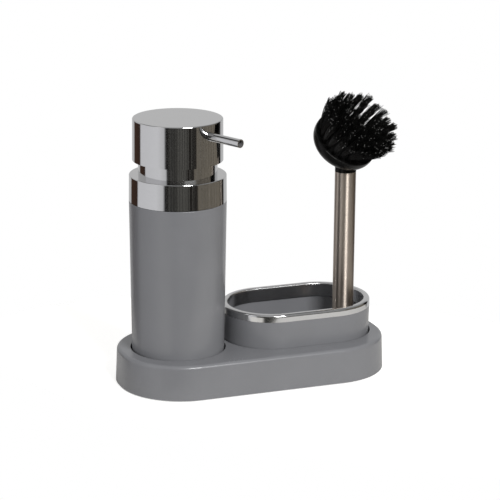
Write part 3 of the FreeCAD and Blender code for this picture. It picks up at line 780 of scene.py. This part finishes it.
def paint_room():
    """World colour: walls by the angle from the camera's side, a ceiling above them, then the patches."""
    world = bpy.data.worlds.new("room")
    world.use_nodes = True
    bpy.context.scene.world = world
    sheet = Sheet(world.node_tree)
    coordinates = sheet.add("ShaderNodeTexCoord", output="Generated")
    turned = sheet.add("ShaderNodeVectorRotate", {"rotation_type": "Z_AXIS"}, {
        "Vector": coordinates, "Angle": -VIEW_AZIMUTH,
    })
    axes = ("X", "Y", "Z")
    east, north, height = sheet.add("ShaderNodeSeparateXYZ", inputs={"Vector": turned}, output=axes)
    compass = east.maths("ARCTAN2", east, 0 - north) / (2 * math.pi) + 0.5
    walls, ceiling = paint_walls(sheet, compass), paint_ceiling(sheet, east, north)
    colour = sheet.blend(sheet.step(height, *CEILING_HEIGHTS), walls, ceiling)
    for patch in PATCHES:
        colour = paint_patch(sheet, compass, height, colour, *patch)
    room = sheet.add("ShaderNodeBackground", inputs={"Color": colour, "Strength": 1.0})
    white = sheet.add("ShaderNodeBackground", inputs={"Color": (1.0, 1.0, 1.0), "Strength": 1.0})
    seen = sheet.add("ShaderNodeLightPath", output="Is Camera Ray")
    both = sheet.add("ShaderNodeMixShader", inputs={0: seen, 1: room, 2: white})
    sheet.add("ShaderNodeOutputWorld", inputs={"Surface": both})


paint_room()
print("room painted with", len(ROOM), "stops and", len(PATCHES), "patches")

# %% [markdown]
# ## The table top
# An oval is a function of a share outwards and an angle, so two parameters on a grid make it. Its edge passes
# close to the front left of the set, which gives the cup's rim its dark spot. The top is white to the eye and
# to reflections by a little light of its own, and what it adds by plain scattering carries the shadow.

# %% Table top
TABLE_HALF_LENGTH, TABLE_HALF_DEPTH, TABLE_DROP = 300 * MM, 157 * MM, 0.1 * MM
TABLE_RIGHT, TABLE_FRONT = 75 * MM, 38 * MM
TABLE_TURN = math.radians(-45)
TABLE_GLOW, MIRROR_GLOW = 0.72, 0.12
TABLE_SCATTER = (0.70, 0.687, 0.66)
TABLE_RINGS, TABLE_SPOKES = 12, 96
TABLE_POLE, TABLE_FEATHER = 0.002, 0.93


def oval(outwards):
    """Oval: (half length * share * cos, half depth * share * sin, -drop) over shares outwards and turns.

    The whole is turned about its middle, so that its long way runs from the back left to the front right."""
    spokes = 2 * math.pi * np.arange(TABLE_SPOKES) / TABLE_SPOKES
    share, turn = np.meshgrid(outwards, spokes, indexing="ij")
    across, along = TABLE_HALF_LENGTH * share * np.cos(turn), TABLE_HALF_DEPTH * share * np.sin(turn)
    points = np.stack([
        tray_middle.x + TABLE_RIGHT + across * math.cos(TABLE_TURN) - along * math.sin(TABLE_TURN),
        tray_middle.y - TABLE_FRONT + across * math.sin(TABLE_TURN) + along * math.cos(TABLE_TURN),
        np.full_like(share, -TABLE_DROP),
    ], -1)
    index = np.arange(share.size).reshape(share.shape)
    after = np.roll(index, -1, axis=1)
    walls = np.stack([index[:-1], index[1:], after[1:], after[:-1]], -1).reshape(-1, 4)
    return points.reshape(-1, 3), walls.tolist() + [index[0].tolist()]


def white_table():
    """Scattering white, plus a glow that only the camera, reflections and clear things see.

    Towards the edge it fades into nothing, so that no mirror shows a hard line there."""
    material, sheet = new_finish("white_table")
    rays = ("Is Camera Ray", "Is Glossy Ray", "Is Transmission Ray")
    camera_ray, glossy, clear = sheet.add("ShaderNodeLightPath", output=rays)
    seen = camera_ray * TABLE_GLOW + glossy.maths("MAXIMUM", glossy, clear) * MIRROR_GLOW
    scatter = sheet.add("ShaderNodeBsdfDiffuse", inputs={"Color": TABLE_SCATTER})
    glow = sheet.add("ShaderNodeEmission", inputs={"Color": (1.0, 1.0, 1.0), "Strength": seen})
    top = sheet.add("ShaderNodeAddShader", inputs={0: scatter, 1: glow})
    nothing = sheet.add("ShaderNodeBsdfTransparent")
    faded = sheet.step(read_values(sheet, "share"), TABLE_FEATHER, 1.0)
    feathered = sheet.add("ShaderNodeMixShader", inputs={0: faded, 1: top, 2: nothing})
    sheet.add("ShaderNodeOutputMaterial", inputs={"Surface": feathered})
    return material


table_shares = np.linspace(TABLE_POLE, 1, TABLE_RINGS)
table_top = mesh_piece("table_top", *oval(table_shares), True)
point_values(table_top, "share", np.repeat(table_shares, TABLE_SPOKES))
table_top.data.materials.append(white_table())
print("table top", TABLE_HALF_LENGTH * 2, "m long")

# %% [markdown]
# ## Lamps
# One soft lamp above the front does most of the work: it lights the front walls more than the tops and throws
# the handle's shadow on the back wall inside the cup. A much weaker one on the left keeps that side open. A
# lamp points along its own -Z, as a camera does, so the same function makes its matrix.

# %% Lamps


def soft_lamp(name, azimuth, elevation, distance, width, height, watts):
    """Rectangular lamp at an azimuth from the front and an elevation, facing the set."""
    turn, rise = math.radians(azimuth), math.radians(elevation)
    back, right = away(turn, rise), level_side(turn)
    data = bpy.data.lights.new(name, "AREA")
    data.shape, data.size, data.size_y, data.energy = "RECTANGLE", width, height, watts
    lamp = bpy.data.objects.new(name, data)
    bpy.context.scene.collection.objects.link(lamp)
    aim = Vector((tray_middle.x, tray_middle.y, LOOK_HEIGHT))
    lamp.matrix_world = stand(aim + back * distance, right, back.cross(right), back)
    print(name, watts, "W at azimuth", azimuth)


soft_lamp("key_lamp", azimuth=6.0, elevation=35.0, distance=1.3, width=0.45, height=0.32, watts=14.2)
soft_lamp("left_lamp", azimuth=-75.0, elevation=35.0, distance=1.3, width=0.50, height=0.50, watts=0.4)

# %% [markdown]
# ## Colour view
# The render's colours go out through the Standard view transform.

# %% View transform
bpy.context.scene.view_settings.view_transform = "Standard"
